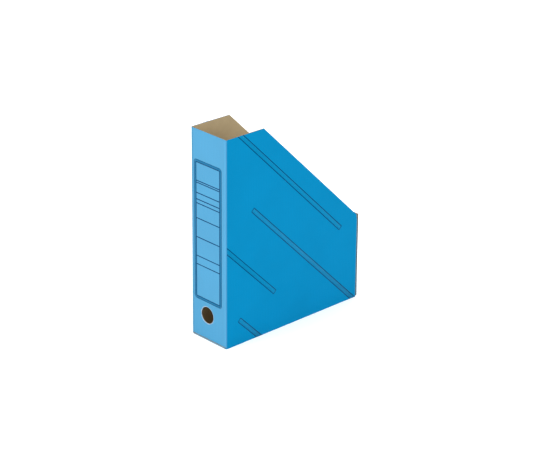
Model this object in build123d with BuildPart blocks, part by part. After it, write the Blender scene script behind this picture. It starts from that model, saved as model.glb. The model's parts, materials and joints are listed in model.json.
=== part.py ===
from build123d import *
import math
import os

# Archival box for loose papers: one creased blank of micro-corrugated board, glued at one seam.
#
# Frame: millimetres, +Z up. The origin is the middle of the footprint, on the surface the box stands
# on. The spine, the tall narrow face with the finger hole, faces -Y, and the low end wall faces +Y.
# Every board is three papers: the printed outer liner, the fluting and the kraft inner liner. Boards
# stop at their creases, so each one is a flat piece that hinges about its inner corner.

# Outside of the box
WIDTH = 75.0
DEPTH = 270.5
HEIGHT = 329.5
TOP_RUN = 73.3          # top edge of a side, measured from the spine's face
TOP_FALL = 0.8          # how much lower that edge ends than it starts
END_RUN = 4.0           # level edge of a side next to the end wall
END_HEIGHT = 138.7

# Corrugated board
BOARD = 1.6
LINER = 0.3
FLUTE_PAPER = 0.18
FLUTE_PITCH = 3.2
GLUE_GAP = 0.01         # between a flute's tip and the liner that it is glued to

# Room that a crease or a loose layer needs
CREASE_GAP = 0.05
LAYER_GAP = 0.2
TUCK_GAP = 0.4
PIVOT_GAP = 0.4

# Finger hole in the spine
HOLE_RADIUS = 13.4
HOLE_X = -3.8
HOLE_Z = 41.1

# Bottom flaps, tuck tab and glue flap
TAB_HEIGHT = 15.0
TAB_FROM_SPINE = 17.0
TAB_FROM_END = 20.0
TAB_CORNER = 4.0
FLAP_DEPTH = 22.0
SPINE_FLAP_LEFT = 3.0
SPINE_FLAP_RIGHT = 4.5
END_FLAP_LEFT = 5.0
END_FLAP_RIGHT = 3.5
FLAP_RIGHT_TAPER = 3.0
SPINE_FLAP_SLANT = 24.0 # lean of the small flaps' left edges
END_FLAP_SLANT = 45.0
GLUE_FLAP_WIDTH = 20.0
GLUE_FLAP_LOW = 8.0
GLUE_FLAP_TAPER = 6.0
CUT_CORNER = 1.0        # rounding that the die leaves on a free corner

HALF_W = WIDTH / 2
HALF_D = DEPTH / 2
INNER_X = HALF_W - BOARD
INNER_Y = HALF_D - BOARD
UPPER_LAYER = BOARD + LAYER_GAP             # underside of the two small flaps
FLAP_CREASE_Z = UPPER_LAYER + BOARD         # inner corner of their creases
TAB_X = INNER_X - TUCK_GAP                  # outer side of the tuck tab

# Outer faces of the boards. Flutes run along each plane's own y.
SPINE_FACE = Plane(origin=(0, -HALF_D, 0), x_dir=(1, 0, 0), z_dir=(0, -1, 0))
RIGHT_FACE = Plane(origin=(HALF_W, 0, 0), x_dir=(0, 1, 0), z_dir=(1, 0, 0))
LEFT_FACE = Plane(origin=(-HALF_W, 0, 0), x_dir=(0, -1, 0), z_dir=(-1, 0, 0))
END_FACE = Plane(origin=(0, HALF_D, 0), x_dir=(-1, 0, 0), z_dir=(0, 1, 0))
GLUE_FACE = END_FACE.offset(-BOARD)
BOTTOM_FACE = Plane(origin=(0, 0, 0), x_dir=(0, 1, 0), z_dir=(0, 0, -1))
TAB_FACE = Plane(origin=(TAB_X, 0, 0), x_dir=(0, 1, 0), z_dir=(1, 0, 0))
SMALL_FLAP_FACE = Plane(origin=(0, 0, UPPER_LAYER), x_dir=(1, 0, 0), z_dir=(0, 0, -1))


def save(part, name):
    """Label one finished piece and write its STEP file."""
    part.label = name
    export_step(part, f"parts/{name}.step")


def draw_outline(points, rounded, hole):
    """Draw a board's outline in the active sketch; rounded maps a radius to the corners it rounds."""
    with BuildLine() as edge:
        Polyline(*points, close=True)
    make_face(edge.edges())
    for radius, corners in rounded.items():
        fillet(nearest(vertices(), corners), radius=radius)
    if hole:
        radius, centre = hole
        with Locations(centre):
            Circle(radius, mode=Mode.SUBTRACT)


def nearest(found, corners):
    """The vertices of a sketch that stand at the given corners."""
    return [min(found, key=lambda v: math.hypot(v.X - x, v.Y - y)) for x, y in corners]


def wave_edges(start, halves):
    """Outline of the fluting's section: arcs above and below a centre line, offset by half a paper."""
    half = FLUTE_PITCH / 2
    tip = (BOARD - 2 * LINER - 2 * GLUE_GAP - FLUTE_PAPER) / 2
    slope = 2 * math.atan2(2 * tip, half)
    across = FLUTE_PAPER / 2 * math.sin(slope)
    along = FLUTE_PAPER / 2 * math.cos(slope)

    def crossing(k, side):
        lean = -1 if k % 2 == 0 else 1
        return (start + k * half + side * lean * across, side * along)

    def crest(k, side):
        rise = tip if k % 2 == 0 else -tip
        return (start + (k + 0.5) * half, rise + side * FLUTE_PAPER / 2)

    for side in (1, -1):
        for k in range(halves):
            ThreePointArc(crossing(k, side), crest(k, side), crossing(k + 1, side))
    Line(crossing(0, 1), crossing(0, -1))
    Line(crossing(halves, 1), crossing(halves, -1))


def board(name, face, points, rounded=None, hole=None):
    """Three papers cut to one outline, which is given in the plane of the board's outer face."""
    rounded = rounded or {}
    for label, depth in (("outer_liner", 0.0), ("inner_liner", BOARD - LINER)):
        with BuildPart() as liner:
            with BuildSketch(face.offset(-depth)):
                draw_outline(points, rounded, hole)
            extrude(amount=-LINER)
        save(liner.part, f"{name}_{label}")

    low_u = min(u for u, v in points)
    high_u = max(u for u, v in points)
    low_v = min(v for u, v in points)
    high_v = max(v for u, v in points)
    halves = math.ceil(2 * (high_u - low_u) / FLUTE_PITCH)
    start = (low_u + high_u) / 2 - halves * FLUTE_PITCH / 4
    section = Plane(origin=face.origin - face.z_dir * (BOARD / 2) + face.y_dir * low_v,
                    x_dir=face.x_dir, z_dir=face.y_dir)
    with BuildPart() as fluting:
        with BuildSketch(section):
            with BuildLine():
                wave_edges(start, halves)
            make_face()
        extrude(amount=high_v - low_v)
        with BuildSketch(face):
            draw_outline(points, rounded, hole)
        extrude(amount=-BOARD, mode=Mode.INTERSECT)
    save(fluting.part, f"{name}_fluting")


def side_profile(near, far, low):
    """Corners of a side in (distance from the spine's face, height), with its edges pulled in."""
    return [(near, low), (far, low), (far, END_HEIGHT), (DEPTH - END_RUN, END_HEIGHT),
            (TOP_RUN, HEIGHT - TOP_FALL), (near, HEIGHT)]


os.makedirs("parts", exist_ok=True)

# Spine, with its finger hole. Both sides and its small bottom flap fold from it.
spine_x = INNER_X - CREASE_GAP
board("spine", SPINE_FACE,
      [(-spine_x, FLAP_CREASE_Z + CREASE_GAP), (spine_x, FLAP_CREASE_Z + CREASE_GAP),
       (spine_x, HEIGHT), (-spine_x, HEIGHT)],
      hole=(HOLE_RADIUS, (HOLE_X, HOLE_Z)))

# Right side: no bottom flap, so it stands on its cut edge.
right = side_profile(BOARD + CREASE_GAP, DEPTH - 2 * BOARD - PIVOT_GAP, 0.0)
board("right_side", RIGHT_FACE, [(run - HALF_D, z) for run, z in right])

# Left side: the bottom flap and the end wall fold from it.
left = side_profile(BOARD + CREASE_GAP, DEPTH - BOARD - CREASE_GAP, BOARD + CREASE_GAP)
board("left_side", LEFT_FACE, [(HALF_D - run, z) for run, z in left])

# End wall: its free edge covers the right side's end.
end_left = INNER_X - CREASE_GAP
end_low = FLAP_CREASE_Z + CREASE_GAP
board("end_wall", END_FACE,
      [(end_left, end_low), (-HALF_W, end_low), (-HALF_W, END_HEIGHT), (end_left, END_HEIGHT)],
      rounded={CUT_CORNER: [(-HALF_W, END_HEIGHT)]})

# Glue flap, turned in from the right side and glued behind the end wall.
flap_right = INNER_X - PIVOT_GAP
flap_left = flap_right - GLUE_FLAP_WIDTH
flap_top = END_HEIGHT - GLUE_FLAP_TAPER
board("glue_flap", GLUE_FACE,
      [(-flap_right, GLUE_FLAP_LOW), (-flap_right, flap_top),
       (-flap_left, flap_top - GLUE_FLAP_TAPER), (-flap_left, GLUE_FLAP_LOW + GLUE_FLAP_TAPER)],
      rounded={CUT_CORNER: [(-flap_left, flap_top - GLUE_FLAP_TAPER)]})

# Bottom flap: closes the whole floor. Its long free edge is stepped in where the tab folds up.
flap_y = HALF_D - CREASE_GAP
tab_low = -HALF_D + TAB_FROM_SPINE
tab_high = HALF_D - TAB_FROM_END
tab_root = TAB_X - BOARD - CREASE_GAP
board("bottom_flap", BOTTOM_FACE,
      [(-flap_y, -INNER_X + CREASE_GAP), (flap_y, -INNER_X + CREASE_GAP), (flap_y, TAB_X),
       (tab_high + CREASE_GAP, TAB_X), (tab_high + CREASE_GAP, tab_root),
       (tab_low - CREASE_GAP, tab_root), (tab_low - CREASE_GAP, TAB_X), (-flap_y, TAB_X)],
      rounded={CUT_CORNER: [(flap_y, TAB_X), (-flap_y, TAB_X)]})

# Tuck tab: stands up inside the right side.
tab_top = BOARD + TAB_HEIGHT
board("tuck_tab", TAB_FACE,
      [(tab_low, BOARD + CREASE_GAP), (tab_high, BOARD + CREASE_GAP),
       (tab_high, tab_top), (tab_low, tab_top)],
      rounded={TAB_CORNER: [(tab_high, tab_top), (tab_low, tab_top)]})

# Small flaps of the spine and the end wall, which lie on the bottom flap.
root_y = INNER_Y - CREASE_GAP
tip_y = INNER_Y - FLAP_DEPTH
board("spine_flap", SMALL_FLAP_FACE,
      [(-INNER_X + SPINE_FLAP_LEFT, root_y), (INNER_X - SPINE_FLAP_RIGHT, root_y),
       (INNER_X - SPINE_FLAP_RIGHT - FLAP_RIGHT_TAPER, tip_y),
       (-INNER_X + SPINE_FLAP_LEFT + SPINE_FLAP_SLANT, tip_y)])
board("end_flap", SMALL_FLAP_FACE,
      [(-INNER_X + END_FLAP_LEFT, -root_y), (-INNER_X + END_FLAP_LEFT + END_FLAP_SLANT, -tip_y),
       (INNER_X - END_FLAP_RIGHT - FLAP_RIGHT_TAPER, -tip_y), (INNER_X - END_FLAP_RIGHT, -root_y)])
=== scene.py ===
"""Looks of the archival box: printed paper over kraft, creased corners, and the ink on its faces.

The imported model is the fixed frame. Its boards stay where they are and get their paper here, and
what a flat board can't show is added: the rounded creases, the label frame and the slanted bars.
Lengths are in metres. -Y is the spine's side, and +Y is the low end wall's.
"""

import json
import math

import bmesh
import bpy
from bpy.props import FloatProperty, FloatVectorProperty, PointerProperty
from mathutils import Matrix, Vector


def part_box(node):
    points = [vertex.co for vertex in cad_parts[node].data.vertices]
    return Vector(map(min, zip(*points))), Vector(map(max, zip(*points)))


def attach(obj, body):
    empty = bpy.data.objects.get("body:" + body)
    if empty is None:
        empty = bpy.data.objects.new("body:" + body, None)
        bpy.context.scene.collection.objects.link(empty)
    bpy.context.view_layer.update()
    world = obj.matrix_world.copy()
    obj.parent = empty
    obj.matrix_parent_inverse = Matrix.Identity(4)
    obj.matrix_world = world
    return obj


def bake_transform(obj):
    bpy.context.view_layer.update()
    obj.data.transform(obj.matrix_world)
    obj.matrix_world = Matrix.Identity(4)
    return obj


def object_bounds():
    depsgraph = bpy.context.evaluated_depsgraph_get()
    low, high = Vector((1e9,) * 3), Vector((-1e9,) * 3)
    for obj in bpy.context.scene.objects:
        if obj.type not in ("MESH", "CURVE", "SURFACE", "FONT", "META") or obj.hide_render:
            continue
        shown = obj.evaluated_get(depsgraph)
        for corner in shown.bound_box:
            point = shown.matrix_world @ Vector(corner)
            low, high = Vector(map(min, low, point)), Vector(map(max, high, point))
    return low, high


bl_info = {
    "name": "Archival Box",
    "version": (1, 0, 0),
    "blender": (4, 5, 0),
    "location": "View3D > Sidebar > Archival Box",
    "description": "Paper, creases and print for a fold-flat box of corrugated board",
    "category": "Object",
}

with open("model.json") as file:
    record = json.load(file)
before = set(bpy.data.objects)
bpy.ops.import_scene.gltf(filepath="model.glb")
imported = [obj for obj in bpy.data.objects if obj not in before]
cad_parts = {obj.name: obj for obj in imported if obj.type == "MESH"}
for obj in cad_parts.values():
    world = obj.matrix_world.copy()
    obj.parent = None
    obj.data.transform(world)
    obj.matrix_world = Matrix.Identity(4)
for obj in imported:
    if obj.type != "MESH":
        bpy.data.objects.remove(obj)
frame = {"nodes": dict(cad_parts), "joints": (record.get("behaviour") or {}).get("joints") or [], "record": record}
CAD_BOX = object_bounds()
MM = 0.001

# The boards, from the frame
SPINE_LOW, SPINE_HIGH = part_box("spine_outer_liner")
RIGHT_LOW, RIGHT_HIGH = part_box("right_side_outer_liner")
LEFT_LOW, LEFT_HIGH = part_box("left_side_outer_liner")
END_LOW, END_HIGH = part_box("end_wall_outer_liner")
BOTTOM_LOW, BOTTOM_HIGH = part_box("bottom_flap_outer_liner")
TAB_LOW, TAB_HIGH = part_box("tuck_tab_outer_liner")
GLUE_LOW, GLUE_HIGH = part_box("glue_flap_outer_liner")
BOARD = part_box("spine_inner_liner")[1].y - SPINE_LOW.y
LINER = SPINE_HIGH.y - SPINE_LOW.y
FLUTE_PITCH = 3.2 * MM
JOINTS = {joint["name"]: joint for joint in frame["joints"]}

# Paper core under the print, and the gloss of each print: its strength and its tint
PAPER_WHITE = (0.75, 0.80, 0.84)
SIDE_GLOSS = 0.03
SPINE_GLOSS = 0.3
INK_GLOSS = 0.05
BLUE_GLOSS = (0.08, 0.55, 1.0)
PLAIN_GLOSS = (1.0, 1.0, 1.0)


# Sizes and colours that a user would change

class PaperSettings(bpy.types.PropertyGroup):
    """Colours of the papers that the board is made of."""
    side_colour: FloatVectorProperty(
        name="Side print", description="Deep blue print on the sides, end wall and flaps",
        subtype="COLOR", size=3, min=0, max=1, default=(0.0002, 0.197, 0.408))
    # The spine's blue is the sides' blue made paler by a painted sheen: its extra red and lightness stand in for a
    # soft reflection.
    spine_blue_with_sheen: FloatVectorProperty(
        name="Spine print", description="Paler tint of the same blue on the spine",
        subtype="COLOR", size=3, min=0, max=1, default=(0.037, 0.236, 0.420))
    kraft_colour: FloatVectorProperty(
        name="Kraft", description="Bare inner liner",
        subtype="COLOR", size=3, min=0, max=1, default=(0.425, 0.335, 0.198))
    flute_colour: FloatVectorProperty(
        name="Flutes", description="Fluting paper between the liners",
        subtype="COLOR", size=3, min=0, max=1, default=(0.19, 0.13, 0.075))
    front_edge_colour: FloatVectorProperty(
        name="Front cut edge", description="Crushed edge of the bottom flap under the spine",
        subtype="COLOR", size=3, min=0, max=1, default=(0.115, 0.235, 0.320))
    # The end wall's cut edge is crushed board darkened by painted shade of the seam corner beside it.
    end_edge_and_shade_colour: FloatVectorProperty(
        name="End cut edge", description="Crushed upright edge of the end wall",
        subtype="COLOR", size=3, min=0, max=1, default=(0.022, 0.070, 0.100))
    rim_colour: FloatVectorProperty(
        name="Punched rim", description="Pale paper core that shows round the finger hole",
        subtype="COLOR", size=3, min=0, max=1, default=(0.40, 0.50, 0.60))


class InkSettings(bpy.types.PropertyGroup):
    """Print on the spine and on the sides."""
    ink_colour: FloatVectorProperty(
        name="Ink", description="Dark lines", subtype="COLOR", size=3, min=0, max=1,
        default=(0.0006, 0.026, 0.090))
    tint_colour: FloatVectorProperty(
        name="Tint", description="Half-tone band round the label frame",
        subtype="COLOR", size=3, min=0, max=1, default=(0.013, 0.130, 0.260))
    bar_tint: FloatVectorProperty(
        name="Bar tint", description="Faint grey half-tone inside the slanted bars",
        subtype="COLOR", size=3, min=0, max=1, default=(0.0022, 0.192, 0.388))
    film: FloatProperty(
        name="Ink film", description="Height of the ink over the paper",
        subtype="DISTANCE", default=0.03 * MM)
    line_width: FloatProperty(
        name="Line width", description="Width of the label frame's lines",
        subtype="DISTANCE", default=1.2 * MM)
    rule_width: FloatProperty(
        name="Rule width", description="Width of the writing rules",
        subtype="DISTANCE", default=1.5 * MM)
    frame_width: FloatProperty(
        name="Frame width", description="Across the inner line of the label frame",
        subtype="DISTANCE", default=50.4 * MM)
    frame_low: FloatProperty(
        name="Frame foot", description="Height of the label frame's lower line",
        subtype="DISTANCE", default=66.3 * MM)
    frame_high: FloatProperty(
        name="Frame head", description="Height of the label frame's upper line",
        subtype="DISTANCE", default=278.6 * MM)
    frame_shift: FloatProperty(
        name="Frame shift", description="Offset of the print from the middle of the spine",
        subtype="DISTANCE", default=-1.9 * MM)
    band_width: FloatProperty(
        name="Band", description="Half-tone band outside the label frame",
        subtype="DISTANCE", default=4.1 * MM)
    bar_drop: FloatProperty(
        name="Bar height", description="Upright distance between a bar's two lines",
        subtype="DISTANCE", default=10.0 * MM)
    bar_line: FloatProperty(
        name="Bar line width", description="Width of the slanted bars' outline",
        subtype="DISTANCE", default=1.0 * MM)
    bar_slope: FloatProperty(
        name="Bar slope", description="Angle of the slanted bars", subtype="ANGLE",
        default=math.radians(44.8))


class StageSettings(bpy.types.PropertyGroup):
    """Camera and studio."""
    azimuth: FloatProperty(
        name="Azimuth", description="0 looks along +Y", subtype="ANGLE",
        default=math.radians(46.57))
    elevation: FloatProperty(
        name="Elevation", description="Height of the camera as an angle", subtype="ANGLE",
        default=math.radians(23.76))
    roll: FloatProperty(
        name="Roll", description="Turn of the camera about its own axis", subtype="ANGLE",
        default=math.radians(0.51))
    distance: FloatProperty(
        name="Distance", description="Camera to the point it looks at", subtype="DISTANCE",
        default=3.2604)
    lens: FloatProperty(
        name="Lens", description="Focal length in millimetres", default=143.26)
    sky: FloatProperty(
        name="Sky", description="Strength of the even white light all round", default=1.0)
    key_light: FloatProperty(
        name="Key light", description="Power of the large light on the spine's side",
        subtype="POWER", default=20.0)
    fill_light: FloatProperty(
        name="Fill light", description="Power of the light on the right side",
        subtype="POWER", default=10.0)
    top_light: FloatProperty(
        name="Top light", description="Power of the light over the box",
        subtype="POWER", default=30.0)


# Shader maths as expressions

class Term:
    """A value, colour or vector in a shader, so that maths on it reads as Python."""

    def __init__(self, shader, socket):
        self.shader = shader
        self.socket = socket

    def maths(self, operation, *values):
        keys = range(len(values))
        return self.shader.term("ShaderNodeMath", {"operation": operation},
                                dict(zip(keys, values)))

    def __add__(self, other):
        return self.maths("ADD", self, other)

    def __radd__(self, other):
        return self.maths("ADD", other, self)

    def __sub__(self, other):
        return self.maths("SUBTRACT", self, other)

    def __rsub__(self, other):
        return self.maths("SUBTRACT", other, self)

    def __mul__(self, other):
        return self.maths("MULTIPLY", self, other)

    def sine(self):
        return self.maths("SINE", self)

    def rise(self, low, high):
        """0 below low, 1 above high, smooth between."""
        return self.shader.term(
            "ShaderNodeMapRange", {"interpolation_type": "SMOOTHSTEP"},
            {"Value": self, "From Min": low, "From Max": high})


class Shader:
    """A new material and the ways to add to its node tree."""

    def __init__(self, name):
        self.material = bpy.data.materials.new(name)
        self.material.use_nodes = True
        self.tree = self.material.node_tree
        self.tree.nodes.clear()

    def node(self, kind, settings=None, values=None):
        """Add a node: its settings first, then the values or links of its sockets."""
        node = self.tree.nodes.new(kind)
        for name, value in (settings or {}).items():
            setattr(node, name, value)
        for key, value in (values or {}).items():
            if isinstance(value, Term):
                self.tree.links.new(value.socket, node.inputs[key])
            else:
                node.inputs[key].default_value = value
        return node

    def term(self, kind, settings=None, values=None, output=0):
        return Term(self, self.node(kind, settings, values).outputs[output])

    def position(self):
        """Object coordinates and their three parts."""
        place = self.term("ShaderNodeTexCoord", output="Object")
        parts = self.node("ShaderNodeSeparateXYZ", values={0: place})
        return place, [Term(self, output) for output in parts.outputs]

    def stretched(self, place, scale):
        """Coordinates scaled along each axis."""
        return self.term("ShaderNodeVectorMath", {"operation": "MULTIPLY"},
                         {0: place, 1: scale})

    def noise(self, place, scale, detail=3.0, roughness=0.55):
        return self.term("ShaderNodeTexNoise", None,
                         {"Vector": place, "Scale": scale, "Detail": detail,
                          "Roughness": roughness})

    def mix(self, low, high, factor):
        """Colour between low and high."""
        node = self.node("ShaderNodeMix", {"data_type": "RGBA"}, {0: factor})
        for index, value in ((6, low), (7, high)):
            if isinstance(value, Term):
                self.tree.links.new(value.socket, node.inputs[index])
            else:
                node.inputs[index].default_value = (*value, 1.0)
        return Term(self, node.outputs[2])

    def bump(self, height, depth):
        return self.term("ShaderNodeBump", None, {"Height": height, "Distance": depth})

    def surface(self, values):
        """Finish the material with one Principled shader."""
        shader = self.term("ShaderNodeBsdfPrincipled", None, values)
        self.node("ShaderNodeOutputMaterial", None, {"Surface": shader})
        return self.material


def scaled(colour, factor):
    return tuple(min(1.0, part * factor) for part in colour)


def context_colours():
    """The paper colours that the user set."""
    return bpy.context.scene.box_paper


# Papers

def printed_paper(name, colour, across, gloss, gloss_tint, margins=False):
    """Offset print on a coated liner; the flutes telegraph faintly across one axis.

    With margins, a painted highlight makes the print lighter beside the right crease and painted shade makes it
    darker beside the left one.
    """
    shader = Shader(name)
    place, parts = shader.position()
    flutes = (parts[across] * (2 * math.pi / FLUTE_PITCH)).sine()
    cloud = shader.noise(place, 14.0, detail=4.0)
    grain = shader.noise(place, 900.0, detail=2.0)
    ink = shader.mix(scaled(colour, 0.95), scaled(colour, 1.05), cloud.rise(0.3, 0.7))
    ink = shader.mix(ink, scaled(colour, 1.10), grain.rise(0.62, 0.85) * 0.5)
    # Painted shade: the print is 3% darker along the flutes, as the washboard ripples look in raking light; the
    # bump gives the ripples as well.
    ink = shader.mix(ink, scaled(colour, 0.97), flutes * 0.5 + 0.5)
    if margins:
        # Painted light: a highlight beside the right crease, where the bent board turns to the light, and shade
        # beside the left crease, where it turns away.
        lit_pale = (parts[0] - (SPINE_HIGH.x - 3.0 * MM)).rise(0.0, 2.5 * MM)
        painted_shade_left = (SPINE_LOW.x + 4.5 * MM - parts[0]).rise(0.0, 3.5 * MM)
        ink = shader.mix(ink, scaled(colour, 1.13), lit_pale)
        ink = shader.mix(ink, scaled(colour, 0.84), painted_shade_left)
    height = flutes * 0.30 + grain * 0.5 + cloud * 0.6
    return shader.surface({
        "Base Color": ink,
        "Roughness": 0.46 + grain * 0.12,
        "Specular IOR Level": gloss,
        "Specular Tint": (*gloss_tint, 1.0),
        "Normal": shader.bump(height, 0.03 * MM),
    })


def crease_print(name, start_colour, end_colour):
    """The print round a fold, from one board's blue to the other's, cracked in fine specks. On the spine's crease
    the blend is painted light, and the whitening is partly stretched, cracked ink and partly a painted highlight.
    """
    shader = Shader(name)
    place, _ = shader.position()
    turn = shader.term("ShaderNodeAttribute", {"attribute_name": "turn"}, output="Fac")
    specks = shader.noise(place, 1400.0, detail=4.0, roughness=0.7)
    patches = shader.noise(place, 45.0, detail=3.0)
    # Partly a painted highlight: the whitening of stretched ink and the cracked specks also brighten the bend as
    # light on its curve would.
    stretched = [tuple(0.93 * part + 0.07 * white for part, white in zip(colour, PAPER_WHITE))
                 for colour in (start_colour, end_colour)]
    # On the spine's crease this blend is painted light, from the spine's sheen-lightened blue to the sides' deep
    # blue across the bend.
    ink = shader.mix(stretched[0], stretched[1], turn.rise(-0.05, 0.45))
    cracked = specks.rise(0.60, 0.80) * patches.rise(0.45, 0.70)
    ink = shader.mix(ink, scaled(PAPER_WHITE, 0.8), cracked * 0.30)
    return shader.surface({
        "Base Color": ink,
        "Roughness": 0.40 + specks * 0.2,
        "Specular IOR Level": INK_GLOSS,
        "Specular Tint": (*BLUE_GLOSS, 1.0),
        "Normal": shader.bump(specks, 0.04 * MM),
    })


def crushed_paper(name, colour):
    """A cut edge that the die has pressed shut: print and brown paper dragged into each other."""
    shader = Shader(name)
    place, _ = shader.position()
    fibres = shader.noise(place, 1300.0, detail=4.0, roughness=0.7)
    drag = shader.noise(place, 180.0, detail=3.0)
    paper = shader.mix(scaled(colour, 0.8), scaled(colour, 1.2), fibres.rise(0.35, 0.7))
    brown = tuple(context_colours().flute_colour)
    paper = shader.mix(paper, brown, drag.rise(0.50, 0.75) * 0.5)
    return shader.surface({
        "Base Color": paper,
        "Roughness": 0.75 + fibres * 0.2,
        "Specular IOR Level": 0.15,
        "Normal": shader.bump(fibres, 0.06 * MM),
    })


def punched_rim(name):
    """Pressed edge of the punched hole: torn paper core, with blue dragged in from the face."""
    paper = context_colours().rim_colour
    blue = context_colours().spine_blue_with_sheen
    shader = Shader(name)
    place, parts = shader.position()
    fibres = shader.noise(place, 1600.0, detail=4.0, roughness=0.7)
    drag = shader.noise(place, 260.0, detail=3.0)
    core = shader.mix(scaled(paper, 0.85), scaled(paper, 1.12), fibres.rise(0.35, 0.7))
    core = shader.mix(core, tuple(blue), drag.rise(0.52, 0.72) * 0.6)
    depth = (parts[1] - SPINE_LOW.y).rise(0.25 * MM, 0.7 * MM)
    torn = shader.mix(core, tuple(context_colours().flute_colour), depth)
    return shader.surface({
        "Base Color": torn,
        "Roughness": 0.7 + fibres * 0.2,
        "Specular IOR Level": 0.2,
        "Normal": shader.bump(fibres, 0.06 * MM),
    })


def kraft_paper(name, along):
    """Bare brown liner with fibres that lie mostly along one axis."""
    colour = tuple(context_colours().kraft_colour)
    shader = Shader(name)
    place, parts = shader.position()
    stretch = [1.0, 1.0, 1.0]
    stretch[along] = 0.12
    fibres = shader.noise(shader.stretched(place, stretch), 1500.0, detail=5.0, roughness=0.7)
    flecks = shader.noise(shader.stretched(place, stretch), 420.0, detail=3.0)
    cloud = shader.noise(place, 18.0, detail=4.0)
    paper = shader.mix(scaled(colour, 0.88), scaled(colour, 1.10), cloud.rise(0.3, 0.7))
    paper = shader.mix(paper, scaled(colour, 0.62), fibres.rise(0.58, 0.78) * 0.55)
    paper = shader.mix(paper, scaled(colour, 1.35), flecks.rise(0.64, 0.82) * 0.35)
    return shader.surface({
        "Base Color": paper,
        "Roughness": 0.78 + fibres * 0.15,
        "Specular IOR Level": 0.25,
        "Normal": shader.bump(fibres * 0.7 + flecks * 0.5, 0.05 * MM),
    })


def flute_paper(name):
    """Coarse fluting paper, darker than the liners."""
    colour = tuple(context_colours().flute_colour)
    shader = Shader(name)
    place, _ = shader.position()
    fibres = shader.noise(place, 1800.0, detail=4.0, roughness=0.7)
    paper = shader.mix(scaled(colour, 0.7), scaled(colour, 1.3), fibres.rise(0.35, 0.7))
    return shader.surface({
        "Base Color": paper,
        "Roughness": 0.85 + fibres * 0.1,
        "Specular IOR Level": 0.2,
        "Normal": shader.bump(fibres, 0.05 * MM),
    })


def ink_film(name, colour):
    """Printing ink, a little glossier than the paper and uneven where the paper is."""
    shader = Shader(name)
    place, _ = shader.position()
    grain = shader.noise(place, 1100.0, detail=3.0)
    ink = shader.mix(scaled(colour, 0.9), scaled(colour, 1.25), grain.rise(0.4, 0.8))
    return shader.surface({
        "Base Color": ink,
        "Roughness": 0.40 + grain * 0.12,
        "Specular IOR Level": INK_GLOSS,
        "Specular Tint": (*BLUE_GLOSS, 1.0),
    })


def studio_floor(name):
    """Matt white table."""
    shader = Shader(name)
    place, _ = shader.position()
    cloud = shader.noise(place, 2.0, detail=2.0)
    paint = shader.mix((0.90, 0.90, 0.90), (0.93, 0.93, 0.93), cloud)
    return shader.surface({
        "Base Color": paint,
        "Roughness": 0.9,
        "Specular IOR Level": 0.1,
        "Emission Color": (1.0, 1.0, 1.0, 1.0),
        "Emission Strength": 0.15,
    })


# Meshes

def finish_mesh(shape, mesh):
    """Turn all faces outwards and hand the shape over to the mesh."""
    bmesh.ops.recalc_face_normals(shape, faces=shape.faces)
    shape.to_mesh(mesh)
    shape.free()
    return mesh


def new_piece(name, mesh, body, slot, *materials):
    """Make a piece of a finished mesh and let it ride on a body."""
    piece = bpy.data.objects.new(name, mesh)
    bpy.context.scene.collection.objects.link(piece)
    for material in materials:
        mesh.materials.append(material)
    if body:
        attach(piece, body)
    return piece


def fold_fan(name, hinge, along, reach, start_out, end_out, tail=0.0):
    """The rounded outside of a crease: a quarter of a round bar about the hinge line.

    along is the hinge's direction, reach its two ends along it, start_out and end_out the outward
    directions of the two boards that meet there. Material 0 is print, material 1 is torn board,
    and the attribute turn goes from 0 at the first board to 1 at the second. A tail carries the
    first board's end on by that length, where it stops short of the hinge.
    """
    steps = 8
    row_length = 6 * MM
    dent_depth = 0.05 * MM
    inner_gap = 0.02 * MM
    rows = max(2, math.ceil((reach[1] - reach[0]) / row_length))
    mesh = bpy.data.meshes.new(name)
    shape = bmesh.new()
    turn_layer = shape.verts.layers.float.new("turn")
    rings = []
    for row in range(rows + 1):
        place = hinge + along * (reach[0] + (reach[1] - reach[0]) * row / rows)
        dent = dent_depth * math.sin(row * 2.1) * math.sin(row * 0.73)
        ring = [shape.verts.new(place + (start_out + end_out) * inner_gap)]
        if tail:
            ring[0].co -= end_out * tail
            ring.append(shape.verts.new(place + start_out * BOARD - end_out * tail))
        for step in range(steps + 1):
            turn = math.radians(90) * step / steps
            bulge = BOARD - dent * math.sin(2 * turn)
            corner = shape.verts.new(
                place + start_out * (bulge * math.cos(turn)) + end_out * (bulge * math.sin(turn)))
            corner[turn_layer] = step / steps
            ring.append(corner)
        rings.append(ring)
    for low, high in zip(rings, rings[1:]):
        for index in range(len(low)):
            after = (index + 1) % len(low)
            face = shape.faces.new((low[index], low[after], high[after], high[index]))
            face.material_index = 0 if 0 < index < len(low) - 1 else 1
            face.smooth = face.material_index == 0
    for ring in (rings[0], rings[-1]):
        face = shape.faces.new(ring)
        face.material_index = 1
    return finish_mesh(shape, mesh)


def edge_strip(name, start, run, out, across):
    """A cut edge pressed shut: a slim bead over the board's whole thickness.

    start is a corner of the edge, run its length as a vector, out the way it faces and across the
    direction of the board's thickness.
    """
    # Section: height over the edge and place in the thickness, as parts of the board
    section = ((-0.06, 0.0), (0.01, 0.01), (0.05, 0.12), (0.065, 0.5), (0.05, 0.88), (0.01, 0.99),
               (-0.06, 1.0))
    row_length = 3 * MM
    rows = max(2, math.ceil(run.length / row_length))
    mesh = bpy.data.meshes.new(name)
    shape = bmesh.new()
    rings = []
    for row in range(rows + 1):
        place = start + run * row / rows
        pressed = 0.8 + 0.2 * math.sin(row * 1.7) * math.sin(row * 0.61)
        rings.append([shape.verts.new(place + out * (high * BOARD * (pressed if high > 0 else 1))
                                      + across * (part * BOARD))
                      for high, part in section])
    for low, high in zip(rings, rings[1:]):
        for index in range(len(low)):
            after = (index + 1) % len(low)
            face = shape.faces.new((low[index], low[after], high[after], high[index]))
            face.smooth = after != 0
    shape.faces.new(rings[0])
    shape.faces.new(rings[-1])
    return finish_mesh(shape, mesh)


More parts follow.
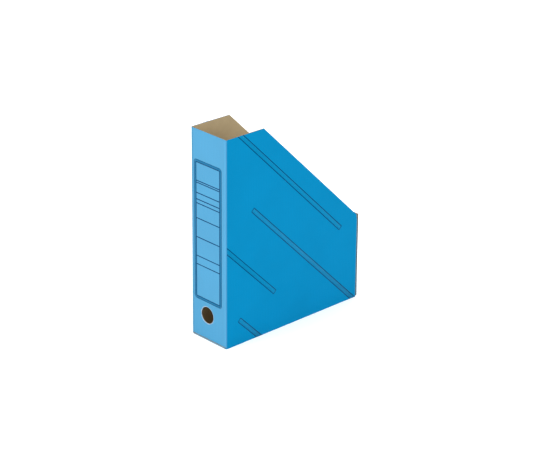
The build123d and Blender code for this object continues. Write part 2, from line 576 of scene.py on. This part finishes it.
def pressed_ring(name, centre, radius):
    """The rim of a punched hole: the liner curls in over the crushed edge of the board."""
    # Section of the ring: growth over the hole's radius and depth behind the face, in mm
    lip = ((0.7, -0.01), (0.35, -0.03), (0.0, 0.02), (-0.22, 0.2), (-0.3, 0.6), (-0.25, 1.1),
           (-0.02, 1.5), (0.03, 1.4), (0.03, 0.05))
    steps = 96
    mesh = bpy.data.meshes.new(name)
    shape = bmesh.new()
    rings = []
    for step in range(steps):
        angle = 2 * math.pi * step / steps
        out = Vector((math.cos(angle), 0, math.sin(angle)))
        ragged = 1 + 0.12 * math.sin(7 * angle) + 0.08 * math.sin(17 * angle + 1)
        rings.append([
            shape.verts.new(centre + out * (radius + grown * ragged * MM)
                            + Vector((0, deep * MM, 0)))
            for grown, deep in lip])
    count = len(lip)
    for ring, after in zip(rings, rings[1:] + rings[:1]):
        for index in range(count):
            face = shape.faces.new((ring[index], ring[(index + 1) % count],
                                    after[(index + 1) % count], after[index]))
            face.smooth = True
    return finish_mesh(shape, mesh)


# Geometry Nodes

class NodeGroup:
    """A Geometry Nodes tree with named inputs, built node by node."""

    def __init__(self, name, inputs):
        self.tree = bpy.data.node_groups.new(name, "GeometryNodeTree")
        face = self.tree.interface
        face.new_socket("Geometry", in_out="INPUT", socket_type="NodeSocketGeometry")
        for label, kind, default in inputs:
            socket = face.new_socket(label, in_out="INPUT", socket_type=kind)
            if default is not None:
                socket.default_value = default
        face.new_socket("Geometry", in_out="OUTPUT", socket_type="NodeSocketGeometry")
        self.entry = self.tree.nodes.new("NodeGroupInput")

    def add(self, kind, settings=None, links=None):
        """Add a node; links gives a socket a value or another node's output."""
        node = self.tree.nodes.new(kind)
        for name, value in (settings or {}).items():
            setattr(node, name, value)
        for key, value in (links or {}).items():
            if isinstance(value, bpy.types.NodeSocket):
                self.tree.links.new(value, node.inputs[key])
            else:
                node.inputs[key].default_value = value
        return node

    def finish(self, geometry):
        """End the tree in Realize Instances and Set Material."""
        real = self.add("GeometryNodeRealizeInstances", None, {"Geometry": geometry})
        painted = self.add("GeometryNodeSetMaterial", None,
                           {"Geometry": real.outputs[0],
                            "Material": self.entry.outputs["Material"]})
        exit_node = self.tree.nodes.new("NodeGroupOutput")
        self.tree.links.new(painted.outputs[0], exit_node.inputs[0])
        return self.tree


def ink_lines_tree():
    """Each edge path of the source becomes a flat line of ink with rounded corners."""
    group = NodeGroup("Ink lines", [
        ("Line Width", "NodeSocketFloat", 1.0 * MM), ("Film", "NodeSocketFloat", 0.03 * MM),
        ("Corner Radius", "NodeSocketFloat", 0.0), ("Material", "NodeSocketMaterial", None)])
    path = group.add("GeometryNodeMeshToCurve", None, {"Mesh": group.entry.outputs["Geometry"]})
    flat = group.add("GeometryNodeSetCurveNormal", {"mode": "Z_UP"}, {"Curve": path.outputs[0]})
    rounded = group.add("GeometryNodeFilletCurve", {"mode": "POLY"},
                        {"Curve": flat.outputs[0], "Count": 4, "Limit Radius": True,
                         "Radius": group.entry.outputs["Corner Radius"]})
    section = group.add("GeometryNodeCurvePrimitiveQuadrilateral", {"mode": "RECTANGLE"},
                        {"Width": group.entry.outputs["Line Width"],
                         "Height": group.entry.outputs["Film"]})
    ribbon = group.add("GeometryNodeCurveToMesh", None,
                       {"Curve": rounded.outputs[0], "Profile Curve": section.outputs[0],
                        "Fill Caps": True})
    return group.finish(ribbon.outputs[0])


def rules_tree():
    """A writing rule on each point of the source."""
    group = NodeGroup("Writing rules", [
        ("Rule Length", "NodeSocketFloat", 50 * MM), ("Line Width", "NodeSocketFloat", 1.0 * MM),
        ("Film", "NodeSocketFloat", 0.03 * MM), ("Material", "NodeSocketMaterial", None)])
    size = group.add("ShaderNodeCombineXYZ", None,
                     {0: group.entry.outputs["Rule Length"], 1: group.entry.outputs["Line Width"],
                      2: group.entry.outputs["Film"]})
    rule = group.add("GeometryNodeMeshCube", None, {"Size": size.outputs[0], "Vertices X": 9})
    placed = group.add("GeometryNodeInstanceOnPoints", None,
                       {"Points": group.entry.outputs["Geometry"], "Instance": rule.outputs[0]})
    return group.finish(placed.outputs[0])


def grow(name, tree, points, edges, values):
    """Run a tree on a small source mesh and return the result as a plain mesh."""
    source_mesh = bpy.data.meshes.new(name)
    source_mesh.from_pydata(points, edges, [])
    source = bpy.data.objects.new(name, source_mesh)
    bpy.context.scene.collection.objects.link(source)
    modifier = source.modifiers.new("Print", "NODES")
    modifier.node_group = tree
    sockets = {item.name: item.identifier for item in tree.interface.items_tree
               if item.in_out == "INPUT"}
    for label, value in values.items():
        modifier[sockets[label]] = value
    graph = bpy.context.evaluated_depsgraph_get()
    mesh = bpy.data.meshes.new_from_object(source.evaluated_get(graph))
    bpy.data.objects.remove(source)
    bpy.data.meshes.remove(source_mesh)
    mesh.name = name
    return mesh


def cut_back(mesh, planes):
    """Cut a flat print off beyond each plane, given as a point and the direction that goes."""
    shape = bmesh.new()
    shape.from_mesh(mesh)
    for point, away in planes:
        found = bmesh.ops.bisect_plane(
            shape, geom=[*shape.verts, *shape.edges, *shape.faces], dist=1e-7,
            plane_co=point, plane_no=away, clear_outer=True)
        rim = [item for item in found["geom_cut"] if isinstance(item, bmesh.types.BMEdge)]
        bmesh.ops.holes_fill(shape, edges=rim, sides=0)
    finish_mesh(shape, mesh)


def wall_matrix(origin, across, up):
    """Stand a flat print on a wall: its x goes across, its y up and its z outwards."""
    out = across.cross(up)
    matrix = Matrix((across, up, out)).transposed().to_4x4()
    matrix.translation = origin
    return matrix


def sunk(film):
    """Height of a print's section that shows film over the paper: the other half is below it."""
    return 2 * film


def joined(paths, closed):
    """Points and edges of one or more flat paths."""
    points, edges = [], []
    for path in paths:
        first = len(points)
        count = len(path)
        points += [(place[0], place[1], 0.0) for place in path]
        steps = count if closed else count - 1
        edges += [(first + k, first + (k + 1) % count) for k in range(steps)]
    return points, edges


# Operators

AXES = {"x": 0, "y": 1, "z": 2}
ACROSS = {"spine": "x", "end_wall": "x", "glue_flap": "x", "spine_flap": "x", "end_flap": "x",
          "right_side": "y", "left_side": "y", "bottom_flap": "y", "tuck_tab": "y"}
ALONG = {"spine": "z", "end_wall": "z", "glue_flap": "z", "right_side": "z", "left_side": "z",
         "tuck_tab": "z", "bottom_flap": "x", "spine_flap": "y", "end_flap": "y"}


class BOX_OT_paper(bpy.types.Operator):
    """Give each board's liners and fluting their paper"""
    bl_idname = "archival_box.paper"
    bl_label = "Paper the boards"

    def execute(self, context):
        colours = context.scene.box_paper
        deep = tuple(colours.side_colour)
        printed = {axis: printed_paper(f"printed_liner_{axis}", deep, AXES[axis], SIDE_GLOSS,
                                       BLUE_GLOSS)
                   for axis in "xy"}
        # The spine's colour carries the painted sheen.
        spine = printed_paper("spine_liner", tuple(colours.spine_blue_with_sheen), AXES["x"],
                              SPINE_GLOSS, PLAIN_GLOSS, margins=True)
        kraft = {axis: kraft_paper(f"kraft_liner_{axis}", AXES[axis]) for axis in "xyz"}
        flutes = flute_paper("flute_paper")
        for board, across in ACROSS.items():
            outer = spine if board == "spine" else printed[across]
            papers = {"outer_liner": outer, "inner_liner": kraft[ALONG[board]],
                      "fluting": flutes}
            for part, material in papers.items():
                node = frame["nodes"][f"{board}_{part}"]
                node.data.materials.clear()
                node.data.materials.append(material)
        return {"FINISHED"}


class BOX_OT_creases(bpy.types.Operator):
    """Round the outside of each crease where two boards meet"""
    bl_idname = "archival_box.creases"
    bl_label = "Creases"

    def execute(self, context):
        deep = tuple(context.scene.box_paper.side_colour)
        # The spine's blue, lightened by painted sheen, fades into the sides' blue round the spine's crease.
        lit_pale = tuple(context.scene.box_paper.spine_blue_with_sheen)
        even = crease_print("side_crease", deep, deep)
        sheen_fading = crease_print("spine_crease", lit_pale, deep)
        torn = flute_paper("torn_board")
        left, right = Vector((-1, 0, 0)), Vector((1, 0, 0))
        front, back = Vector((0, -1, 0)), Vector((0, 1, 0))
        down, up = Vector((0, 0, -1)), Vector((0, 0, 1))
        above_floor = BOTTOM_HIGH.z - LINER + BOARD
        creases = {
            "fold_flat": (up, (above_floor, SPINE_HIGH.z), front, left),
            "right_side_crease": (up, (RIGHT_LOW.z, SPINE_HIGH.z), front, right),
            "end_wall_crease": (up, (above_floor, END_HIGH.z), left, back),
            "bottom_flap_crease": (back, (LEFT_LOW.y, LEFT_HIGH.y), left, down),
            "tuck_tab_crease": (back, (TAB_LOW.y, TAB_HIGH.y), down, right),
            "spine_flap_crease": (right, (SPINE_LOW.x, SPINE_HIGH.x), front, down),
            "end_flap_crease": (right, (END_LOW.x, END_HIGH.x), back, down),
        }
        for joint_name, (along, reach, start_out, end_out) in creases.items():
            joint = JOINTS[joint_name]
            hinge = Vector(joint["pos_m"])
            hinge -= along * hinge.dot(along)
            mesh = fold_fan(joint_name, hinge, along, reach, start_out, end_out)
            skin = sheen_fading if start_out == front else even
            piece = new_piece(f"{joint_name}_bend", mesh, None, "printed_liner", skin, torn)
            hinge + start_out * BOARD
            hinge + end_out * BOARD
            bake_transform(piece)
        return {"FINISHED"}


class BOX_OT_seam_crease(bpy.types.Operator):
    """Round the right side into the glue flap, at the glued seam"""
    bl_idname = "archival_box.seam_crease"
    bl_label = "Seam crease"

    def execute(self, context):
        hinge = Vector((RIGHT_HIGH.x - BOARD, GLUE_LOW.y + LINER - BOARD, 0))
        mesh = fold_fan("seam_bend", hinge, Vector((0, 0, 1)), (RIGHT_LOW.z, GLUE_HIGH.z),
                        Vector((1, 0, 0)), Vector((0, 1, 0)), tail=hinge.y - RIGHT_HIGH.y)
        new_piece("seam_bend", mesh, "end_wall", "printed_liner",
                  bpy.data.materials["side_crease"], bpy.data.materials["torn_board"])
        return {"FINISHED"}


class BOX_OT_cut_edges(bpy.types.Operator):
    """Press shut the cut edges that run along the flutes"""
    bl_idname = "archival_box.cut_edges"
    bl_label = "Cut edges"

    def execute(self, context):
        colours = context.scene.box_paper
        inset = 0.3 * MM
        edges = (
            ("bottom_flap_front_edge", "bottom_flap", colours.front_edge_colour,
             Vector((BOTTOM_LOW.x + inset, BOTTOM_LOW.y, BOTTOM_LOW.z)),
             Vector((BOTTOM_HIGH.x - BOTTOM_LOW.x - 2 * inset, 0, 0)), Vector((0, -1, 0)),
             Vector((0, 0, 1))),
            ("bottom_flap_back_edge", "bottom_flap", colours.front_edge_colour,
             Vector((BOTTOM_LOW.x + inset, BOTTOM_HIGH.y, BOTTOM_LOW.z)),
             Vector((BOTTOM_HIGH.x - BOTTOM_LOW.x - 2 * inset, 0, 0)), Vector((0, 1, 0)),
             Vector((0, 0, 1))),
            # This edge's colour carries painted shade of the corner.
            ("end_wall_side_edge", "end_wall", colours.end_edge_and_shade_colour,
             Vector((END_HIGH.x, END_HIGH.y, END_LOW.z + inset)),
             Vector((0, 0, END_HIGH.z - END_LOW.z - 2 * inset)), Vector((1, 0, 0)),
             Vector((0, -1, 0))),
        )
        for name, body, colour, start, run, out, across in edges:
            mesh = edge_strip(name, start, run, out, across)
            new_piece(name, mesh, body, "printed_liner", crushed_paper(name, tuple(colour)))
        return {"FINISHED"}


class BOX_OT_hole_rim(bpy.types.Operator):
    """Press the punched edge of the finger hole inwards"""
    bl_idname = "archival_box.hole_rim"
    bl_label = "Finger hole rim"

    def execute(self, context):
        mount = next(item for item in frame["record"]["mounts"] if item["name"] == "finger_hole")
        radius = mount["dims"]["r_mm"] * MM
        centre = Vector((mount["pos_m"][0], SPINE_LOW.y, mount["pos_m"][2]))
        mesh = pressed_ring("hole_rim", centre, radius)
        new_piece("hole_rim", mesh, "spine", "printed_liner", punched_rim("punched_rim"))
        return {"FINISHED"}


class BOX_OT_label_frame(bpy.types.Operator):
    """Print the label frame and its writing rules on the spine"""
    bl_idname = "archival_box.label_frame"
    bl_label = "Label frame"

    # Widths of the frame's two lines, as parts of the line width
    inner_line = 1.4
    outer_line = 0.5
    # Heights of the writing rules over the table, in millimetres
    rules = (249.9, 246.8, 230.8, 220.8, 214.6, 191.0, 160.9, 131.0, 117.7)

    def execute(self, context):
        ink = context.scene.box_ink
        dark = ink_film("dark_ink", tuple(ink.ink_colour))
        tint = ink_film("tint_ink", tuple(ink.tint_colour))
        tree = ink_lines_tree()
        wall = wall_matrix(Vector((ink.frame_shift, SPINE_LOW.y, 0)), Vector((1, 0, 0)),
                           Vector((0, 0, 1)))
        half = ink.frame_width / 2

        def outline(grown):
            return [(-half - grown, ink.frame_low - grown), (half + grown, ink.frame_low - grown),
                    (half + grown, ink.frame_high + grown), (-half - grown, ink.frame_high + grown)]

        # Each print: name, growth over the frame, width, part of the film, material, corner radius
        prints = (
            ("label_band", ink.band_width / 2, ink.band_width, 0.6, tint, ink.band_width),
            ("label_inner_line", 0.0, self.inner_line * ink.line_width, 1.0, dark, 0.0),
            ("label_outer_line", ink.band_width, self.outer_line * ink.line_width, 1.0, dark,
             ink.band_width),
        )
        for name, grown, width, film, material, corner in prints:
            points, edges = joined([outline(grown)], closed=True)
            mesh = grow(name, tree, points, edges,
                        {"Line Width": width, "Film": sunk(film * ink.film),
                         "Corner Radius": corner, "Material": material})
            mesh.transform(wall)
            new_piece(name, mesh, "spine", "printed_liner")

        mesh = grow("label_rules", rules_tree(),
                    [(0.0, height * MM, 0.0) for height in self.rules], [],
                    {"Rule Length": ink.frame_width - ink.line_width,
                     "Line Width": ink.rule_width, "Film": sunk(ink.film), "Material": dark})
        mesh.transform(wall)
        new_piece("label_rules", mesh, "spine", "printed_liner")
        return {"FINISHED"}


class BOX_OT_side_bars(bpy.types.Operator):
    """Print the slanted bars on both sides"""
    bl_idname = "archival_box.side_bars"
    bl_label = "Slanted bars"

    # Each bar, in millimetres: height of its upper line at the spine, and the runs from the spine
    # where it starts and stops. A start or stop beyond the board's edge is cut off there.
    bars = ((362.0, -20.0, 232.0), (264.9, 52.0, 330.0), (164.2, -20.0, 97.0), (70.7, 26.0, 120.0))

    def execute(self, context):
        ink = context.scene.box_ink
        dark = bpy.data.materials["dark_ink"]
        tint = ink_film("bar_tint", tuple(ink.bar_tint))
        tree = bpy.data.node_groups["Ink lines"]
        slope = math.tan(ink.bar_slope)
        thickness = ink.bar_drop * math.cos(ink.bar_slope)
        lean = Vector((math.sin(ink.bar_slope), math.cos(ink.bar_slope))) * thickness / 2
        outlines, middles = [], []
        for head, start, stop in self.bars:
            ends = [Vector((run * MM, head * MM - ink.bar_drop / 2 - run * MM * slope))
                    for run in (start, stop)]
            outlines.append([ends[0] - lean, ends[1] - lean, ends[1] + lean, ends[0] + lean])
            middles.append(ends)
        # Each print: name, path, width, part of the film, corner radius, material
        prints = (
            ("bars", joined(outlines, closed=True), ink.bar_line, 1.0, 1.2 * MM, dark),
            ("bar_tint", joined(middles, closed=False), thickness, 0.5, 0.0, tint),
        )
        sides = (
            ("right_side", RIGHT_HIGH.x, RIGHT_LOW, RIGHT_HIGH),
            ("left_side", LEFT_LOW.x, LEFT_LOW, LEFT_HIGH),
        )
        for body, face_x, low, high in sides:
            margins = (
                (Vector((low.y - SPINE_LOW.y, 0, 0)), Vector((-1, 0, 0))),
                (Vector((high.y - SPINE_LOW.y, 0, 0)), Vector((1, 0, 0))),
                (Vector((0, low.z, 0)), Vector((0, -1, 0))),
                (Vector((0, high.z, 0)), Vector((0, 1, 0))),
            )
            wall = wall_matrix(Vector((face_x, SPINE_LOW.y, 0)), Vector((0, 1, 0)),
                               Vector((0, 0, 1)))
            for name, (points, edges), width, film, corner, material in prints:
                mesh = grow(f"{body}_{name}", tree, points, edges,
                            {"Line Width": width, "Film": sunk(film * ink.film),
                             "Corner Radius": corner, "Material": material})
                cut_back(mesh, margins)
                mesh.transform(wall)
                new_piece(f"{body}_{name}", mesh, body, "printed_liner")
        return {"FINISHED"}


class BOX_OT_stage(bpy.types.Operator):
    """Add the floor, the studio lights and the camera"""
    bl_idname = "archival_box.stage"
    bl_label = "Stage"

    # Point that the camera looks at, from the middle of the box, in millimetres
    aim_shift = (-0.37, -3.21, -16.19)

    def execute(self, context):
        scene = context.scene
        stage = scene.box_stage
        mesh = bpy.data.meshes.new("floor")
        reach = 6.0
        mesh.from_pydata([(-reach, -reach, 0), (reach, -reach, 0), (reach, reach, 0),
                          (-reach, reach, 0)], [], [(0, 1, 2, 3)])
        mesh.materials.append(studio_floor("studio_floor"))
        floor = bpy.data.objects.new("floor", mesh)
        scene.collection.objects.link(floor)

        world = bpy.data.worlds.new("studio")
        world.use_nodes = True
        world.node_tree.nodes["Background"].inputs["Color"].default_value = (1, 1, 1, 1)
        world.node_tree.nodes["Background"].inputs["Strength"].default_value = stage.sky
        scene.world = world
        scene.view_settings.view_transform = "Standard"

        middle = (CAD_BOX[0] + CAD_BOX[1]) / 2
        # Each lamp: name, power, place and size
        lamps = (("key_light", stage.key_light, (-0.9, -1.8, 0.9), 1.4),
                 ("fill_light", stage.fill_light, (2.0, -0.9, 1.3), 1.6),
                 ("top_light", stage.top_light, (0.3, -0.2, 2.6), 2.4))
        for name, power, place, size in lamps:
            data = bpy.data.lights.new(name, "AREA")
            data.shape = "SQUARE"
            data.energy = power
            data.size = size
            lamp = bpy.data.objects.new(name, data)
            lamp.location = place
            lamp.rotation_euler = (middle - lamp.location).to_track_quat("-Z", "Y").to_euler()
            scene.collection.objects.link(lamp)

        back = Vector((math.sin(stage.azimuth) * math.cos(stage.elevation),
                       -math.cos(stage.azimuth) * math.cos(stage.elevation),
                       math.sin(stage.elevation)))
        right = Vector((math.cos(stage.azimuth), math.sin(stage.azimuth), 0))
        up = back.cross(right)
        turned = Matrix((right, up, back)).transposed()
        turned = turned @ Matrix.Rotation(stage.roll, 3, "Z")
        data = bpy.data.cameras.new("camera")
        data.lens = stage.lens
        camera = bpy.data.objects.new("camera", data)
        aim = middle + Vector(self.aim_shift) * MM
        camera.matrix_world = Matrix.Translation(aim + back * stage.distance) @ turned.to_4x4()
        scene.collection.objects.link(camera)
        scene.camera = camera
        return {"FINISHED"}


class BOX_PT_panel(bpy.types.Panel):
    """Lists the steps that finish the box"""
    bl_label = "Archival Box"
    bl_space_type = "VIEW_3D"
    bl_region_type = "UI"
    bl_category = "Archival Box"

    def draw(self, context):
        for group in (context.scene.box_paper, context.scene.box_ink, context.scene.box_stage):
            for name in group.bl_rna.properties.keys():
                if name not in ("rna_type", "name"):
                    self.layout.prop(group, name)
        for step in STEPS:
            self.layout.operator(step.bl_idname)


GROUPS = {"box_paper": PaperSettings, "box_ink": InkSettings, "box_stage": StageSettings}
STEPS = (BOX_OT_paper, BOX_OT_creases, BOX_OT_seam_crease, BOX_OT_cut_edges, BOX_OT_hole_rim,
         BOX_OT_label_frame, BOX_OT_side_bars, BOX_OT_stage)


def register():
    for kind in (*GROUPS.values(), *STEPS, BOX_PT_panel):
        bpy.utils.register_class(kind)
    for name, group in GROUPS.items():
        setattr(bpy.types.Scene, name, PointerProperty(type=group))


def unregister():
    for name in GROUPS:
        delattr(bpy.types.Scene, name)
    for kind in reversed((*GROUPS.values(), *STEPS, BOX_PT_panel)):
        bpy.utils.unregister_class(kind)


def main():
    register()
    bpy.ops.archival_box.paper()
    bpy.ops.archival_box.creases()
    bpy.ops.archival_box.seam_crease()
    bpy.ops.archival_box.cut_edges()
    bpy.ops.archival_box.hole_rim()
    bpy.ops.archival_box.label_frame()
    bpy.ops.archival_box.side_bars()
    bpy.ops.archival_box.stage()


if __name__ == "__main__":
    main()
